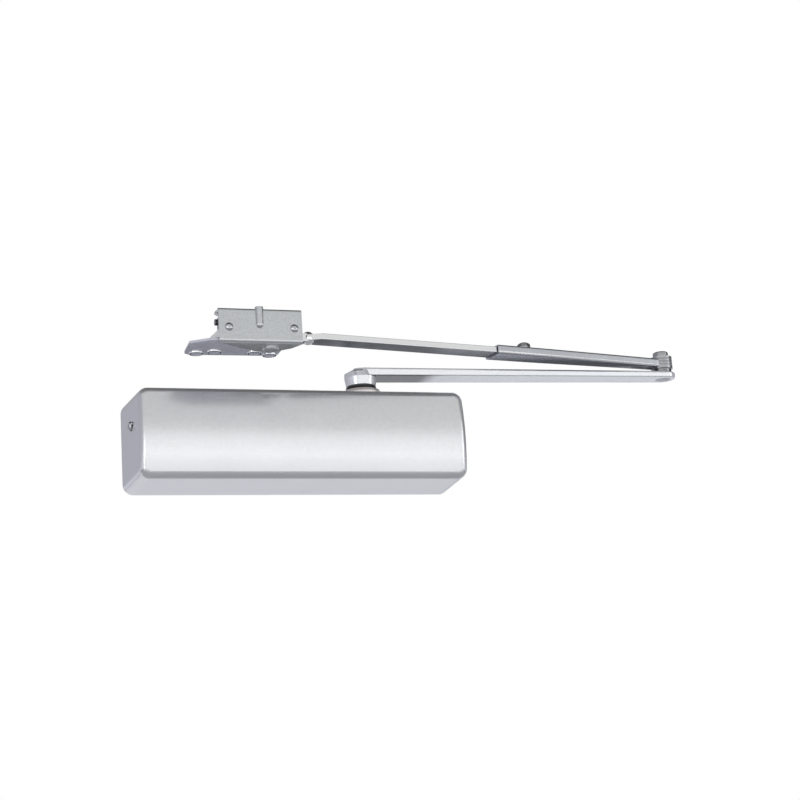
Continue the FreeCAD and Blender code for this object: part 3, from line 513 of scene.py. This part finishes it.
cover_screw_low, cover_screw_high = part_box("cover_screws")
cover_screw_axis = middle("cover_screws")
for name, outer_x, inward in (("cover_screw_threads_left", cover_screw_low.x, 1),
                              ("cover_screw_threads_right", cover_screw_high.x, -1)):
    start = Vector((outer_x + inward * thread_start, cover_screw_axis.y, cover_screw_axis.z))
    threads(name, start, (inward, 0, 0), "closer_body")


# ---- cover --------------------------------------------------------------
# The cover is one drawn steel shell over the whole body, sprayed with silver enamel. The
# aluminium flakes in the paint lie flat, so it is bright, satin and very slightly grainy.
def silver_enamel(name, light, dark, metallic, rough, flake_mm, peel_mm, peel):
    """Silver enamel: aluminium flake under a skin with a little orange peel."""
    material, tree, shader = new_finish(name, metallic)
    place = add_node(tree, "ShaderNodeTexCoord")
    flakes = add_node(tree, "ShaderNodeTexVoronoi", {"Scale": 1000 / flake_mm},
                      {"Vector": place.outputs["Object"]})
    spray = add_node(tree, "ShaderNodeTexNoise", {"Scale": 22.0, "Detail": 4.0},
                     {"Vector": place.outputs["Object"]})
    flake_tone = add_node(tree, "ShaderNodeSeparateColor",
                          links={0: flakes.outputs["Color"]})
    both = add_node(tree, "ShaderNodeMix", {"Factor": 0.45},
                    {2: spray.outputs["Fac"], 3: flake_tone.outputs[0]})
    tone = add_node(tree, "ShaderNodeValToRGB", links={"Fac": both.outputs[0]})
    set_ramp(tone, [(0.2, srgb(dark)), (0.8, srgb(light))])
    satin = add_node(tree, "ShaderNodeMapRange", {"To Min": rough[0], "To Max": rough[1]},
                     {"Value": both.outputs[0]})
    skin = add_node(tree, "ShaderNodeTexNoise", {"Scale": 1000 / peel_mm, "Detail": 2.0},
                    {"Vector": place.outputs["Object"]})
    peeled = add_node(tree, "ShaderNodeBump", {"Strength": peel, "Distance": 0.00006},
                      {"Height": skin.outputs["Fac"]})
    tree.links.new(tone.outputs["Color"], shader.inputs["Base Color"])
    tree.links.new(satin.outputs["Result"], shader.inputs["Roughness"])
    tree.links.new(peeled.outputs["Normal"], shader.inputs["Normal"])
    return material


cover_enamel = silver_enamel("satin_silver_cover_enamel", "E9EAEC", "DFE0E2", metallic=0.74,
                             rough=(0.22, 0.27), flake_mm=0.8, peel_mm=6.0, peel=0.10)
put_on(cover_enamel, "cover")


# ---- bearing collar and the ring under the arm --------------------------
# The screwed collar that shuts the upper bearing stands up through the cover. It is turned
# from bright steel, soft and pale to the eye. A black rubber ring above it keeps dust out.
collar_steel = turned_metal("bright_turned_collar", "FFF8F7", "DCD4D3", pinion_centre, "Z",
                            ring_mm=0.9, rough=(0.3, 0.42), metallic=0.6)
put_on(collar_steel, "upper_bearing_cap")
put_on(nitrile, "arm_spacer")


# ---- main arm -----------------------------------------------------------
# A forged steel arm with a deep hub, ground smooth and sprayed with silver enamel that is
# glossier than the cover's, so that it mirrors the cover below it.
def painted_light_by_lean(material, stops, along=None, fade=(0.0, 1.0)):
    """Paints shade and highlight into a paint by how far each face leans, from down at 0 to up
    at 1.

    Each stop is a place, a colour and how much of it covers the paint. With an axis in
    along, the tint fades out between the two places on that axis.
    """
    tree = material.node_tree
    shader = tree.nodes["Principled BSDF"]
    paint = shader.inputs["Base Color"].links[0].from_socket
    surface = add_node(tree, "ShaderNodeNewGeometry")
    lean = add_node(tree, "ShaderNodeSeparateXYZ", links={0: surface.outputs["Normal"]})
    share = add_node(tree, "ShaderNodeMapRange", {"From Min": -1.0, "From Max": 1.0},
                     {"Value": lean.outputs["Z"]})
    tint = add_node(tree, "ShaderNodeValToRGB", links={"Fac": share.outputs["Result"]})
    set_ramp(tint, [(at, srgb(colour)[:3] + (cover,)) for at, colour, cover in stops])
    amount = tint.outputs["Alpha"]
    if along is not None:
        spot = add_node(tree, "ShaderNodeTexCoord")
        spot_parts = add_node(tree, "ShaderNodeSeparateXYZ", links={0: spot.outputs["Object"]})
        left = add_node(tree, "ShaderNodeMapRange", {"From Min": fade[1], "From Max": fade[0]},
                        {"Value": spot_parts.outputs[along]},
                        interpolation_type="SMOOTHSTEP")
        amount = add_node(tree, "ShaderNodeMath", links={0: amount, 1: left.outputs["Result"]},
                          operation="MULTIPLY").outputs[0]
    shaded = add_node(tree, "ShaderNodeMix",
                      links={0: amount, 6: paint, 7: tint.outputs["Color"]},
                      data_type="RGBA")
    tree.links.new(shaded.outputs[2], shader.inputs["Base Color"])


arm_enamel = silver_enamel("gloss_silver_arm_enamel", "F2F4F7", "E6E9ED", metallic=0.62,
                           rough=(0.14, 0.2), flake_mm=0.7, peel_mm=4.0, peel=0.12)
# The underside is painted dark grey as shade at the hub, and the painted shade fades out a
# little way along.
shade_until = pinion_centre.x + 0.055
shade_faded_by = pinion_centre.x + 0.074
painted_light_by_lean(arm_enamel, [(0.03, "55555A", 1.0), (0.16, "55555A", 0.0)], along="X",
           fade=(shade_until, shade_faded_by))
put_on(arm_enamel, "main_arm")


# ---- elbow --------------------------------------------------------------
# A plain steel rivet joins the two arms, with a bronze bush in the eye on the tube. The
# rivet, its washer and the eye are bare and turned, and so are darker than the paint.
elbow_centre = middle("elbow_washer")
elbow_steel = turned_metal("bare_elbow_steel", "C4C5C7", "8F9194", elbow_centre, "Z",
                           ring_mm=0.9, rough=(0.2, 0.36), ring_depth=0.4)
put_on(elbow_steel, "elbow_washer", "elbow_eye", "elbow_rivet")
bush_brass = turned_metal("sintered_bush_bronze", "C9A765", "977637", elbow_centre, "Z",
                          ring_mm=0.8, rough=(0.28, 0.42))
put_on(bush_brass, "elbow_bush", "hub_bush")


# ---- forearm tube -------------------------------------------------------
# A flattened steel tube that tapers towards the elbow, sprayed silver a shade darker than
# the cover. The nut welded on top of it takes the clamp screw.
tube_enamel = silver_enamel("silver_tube_enamel", "CDD0D5", "BFC2C8", metallic=0.9,
                            rough=(0.14, 0.22), flake_mm=0.8, peel_mm=3.0, peel=0.3)
# The flat underside is painted grey as shade, and the rounded edges beside it are painted white
# as a highlight.
painted_light_by_lean(tube_enamel, [(0.0, "878A93", 1.0), (0.06, "878A93", 1.0), (0.14, "FFFFFF", 1.0),
                         (0.36, "FFFFFF", 0.8), (0.48, "FFFFFF", 0.0)])
put_on(tube_enamel, "forearm_tube", "clamp_nut")


# ---- clamp screw --------------------------------------------------------
# A hex-headed set screw of plain dark steel, a little oily, that holds the rod in the tube.
clamp_steel = turned_metal("oiled_dark_screw_steel", "8E9192", "5E6163", middle("clamp_screw"),
                           "Z", ring_mm=1.0, rough=(0.24, 0.4))
put_on(clamp_steel, "clamp_screw")


# ---- sliding rod and its hub --------------------------------------------
# A flat bar of bright drawn steel. Its two wide faces are painted dark grey as shade, and its
# narrow edges are painted near white as a highlight. The hub sleeve on the shoe's pivot is
# turned.
rod_steel, tree, shader = new_finish("drawn_rod_steel", 1.0)
place = add_node(tree, "ShaderNodeTexCoord")
normal = add_node(tree, "ShaderNodeNewGeometry")
upright = add_node(tree, "ShaderNodeSeparateXYZ", links={0: normal.outputs["Normal"]})
wide_face = add_node(tree, "ShaderNodeMath", links={0: upright.outputs["Z"]},
                     operation="ABSOLUTE")
rod_turn = math.radians(8.8)
streak_stretch = 0.03
along = add_node(tree, "ShaderNodeMapping", {"Rotation": (0, 0, -rod_turn),
                                             "Scale": (streak_stretch, 1, 1)},
                 {"Vector": place.outputs["Object"]}, vector_type="TEXTURE")
drawn = add_node(tree, "ShaderNodeTexNoise", {"Scale": 900.0, "Detail": 3.0},
                 {"Vector": along.outputs["Vector"]})
# The near white of the narrow edges is painted highlight, and the dark grey of the wide faces
# below is painted shade.
bright = add_node(tree, "ShaderNodeValToRGB", links={"Fac": drawn.outputs["Fac"]})
set_ramp(bright, [(0.3, srgb("F1F2F4")), (0.7, srgb("FFFFFF"))])
streaks = add_node(tree, "ShaderNodeValToRGB", links={"Fac": drawn.outputs["Fac"]})
set_ramp(streaks, [(0.3, srgb("5C5E63")), (0.7, srgb("888B91"))])
painted_shade_share = add_node(tree, "ShaderNodeMapRange", {"From Min": 0.97, "From Max": 0.995},
                {"Value": wide_face.outputs[0]})
tone = add_node(tree, "ShaderNodeMix", links={"Factor": painted_shade_share.outputs["Result"],
                                              6: bright.outputs["Color"],
                                              7: streaks.outputs["Color"]}, data_type="RGBA")
dull = add_node(tree, "ShaderNodeMapRange", {"To Min": 0.12, "To Max": 0.3},
                {"Value": painted_shade_share.outputs["Result"]})
tree.links.new(tone.outputs[2], shader.inputs["Base Color"])
tree.links.new(dull.outputs["Result"], shader.inputs["Roughness"])
put_on(rod_steel, "rod_bar")

# The hub and most pieces inside the shoe are mid-grey turned steel, ringed about the pivot.
hub_steel = turned_metal("turned_hub_steel", "B5B6B9", "86888B", middle("pivot_washer"), "Z",
                         ring_mm=1.0)
put_on(hub_steel, "rod_hub", "spring_abutment", "guide_pin", "cushion_plunger")


# ---- soffit plate -------------------------------------------------------
# The plate screws up under the door frame. It is pressed sheet with four dimpled screw
# holes, plated in dull zinc with a violet-grey tint.
plate_zinc = plated_zinc("dull_plated_soffit_sheet", "DCDDE8", "C2C3CF", 5.0, (0.32, 0.44),
                         line_axis=0, lines=0.4, metallic=0.25)
put_on(plate_zinc, "soffit_plate")

# Each dimple ends in a bright rubbed lip round a bore painted near black as shade. A section
# holds pairs of radius and height in metres, with the plate's underside at height 0.
hole_places = [(-0.103, -0.092), (-0.037, -0.092), (-0.088, -0.0975), (-0.052, -0.0975)]
dimple_depth = 0.0018
plate_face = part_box("soffit_plate")[0].z + dimple_depth
lip_section = [(0.00665, 0.0002), (0.00660, -0.0011), (0.0064, -0.0016), (0.0060, -0.0018),
               (0.0058, 0.0002)]
bore_section = [(0.0060, -0.0017), (0.0052, -0.0018), (0.0045, -0.0016), (0.0036, -0.0002),
                (0.0032, 0.0004), (0.0032, 0.0021), (0.0034, 0.0021), (0.0050, -0.0010)]


def lathe_all(name, section, places, level, material):
    """A piece made of one closed section turned round at each of the places."""
    steps = 40
    turned = bmesh.new()
    for x, y in places:
        rings = []
        for step in range(steps):
            turn = 2 * math.pi * step / steps
            rings.append([turned.verts.new((x + r * math.cos(turn), y + r * math.sin(turn),
                                            level + z)) for r, z in section])
        for step, ring in enumerate(rings):
            following = rings[(step + 1) % steps]
            for k in range(len(section)):
                after = (k + 1) % len(section)
                turned.faces.new((ring[k], ring[after], following[after], following[k]))
    return link_new(name, from_bmesh(turned, name, material, sharp_degrees=40))


lip_zinc = plated_zinc("burnished_hole_lip", "FFFFFF", "E4E6EA", 2.0, (0.06, 0.12))
# The bores are near black as painted shade inside the holes.
bore_shade_paint = mottled("painted_shade_hole_bore", 0.6, scale=700.0, detail=3.0,
                    stops=[(0.35, "08090A"), (0.65, "151618")], rough=(0.75, 0.75))
for name, section, material in (("hole_lips", lip_section, lip_zinc),
                                ("hole_bores", bore_section, bore_shade_paint)):
    piece = lathe_all(name, section, hole_places, plate_face, material)
    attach(piece, "soffit_shoe")


# ---- cushion housing ----------------------------------------------------
# A folded sheet channel that boxes in the cushion spring, with a stiffening rib pressed
# into its web. It and the pivot rivet are sprayed silver, duller and greyer than the arm.
shoe_enamel = silver_enamel("satin_silver_shoe_enamel", "D5D8DA", "C6C9CC", metallic=0.85,
                            rough=(0.2, 0.28), flake_mm=0.8, peel_mm=2.2, peel=0.35)
put_on(shoe_enamel, "cushion_housing", "pivot_rivet")


# ---- bumper pad ---------------------------------------------------------
# A block of black nylon behind the web's right screw; it is moulded, so it has a soft even
# sheen with faint flow marks.
nylon = mottled("moulded_black_nylon", 0.0, scale=180.0, detail=3.0, distortion=1.5,
                stops=[(0.3, "1B1B1D"), (0.7, "2C2C2F")], rough=(0.36, 0.52))
put_on(nylon, "bumper_pad")
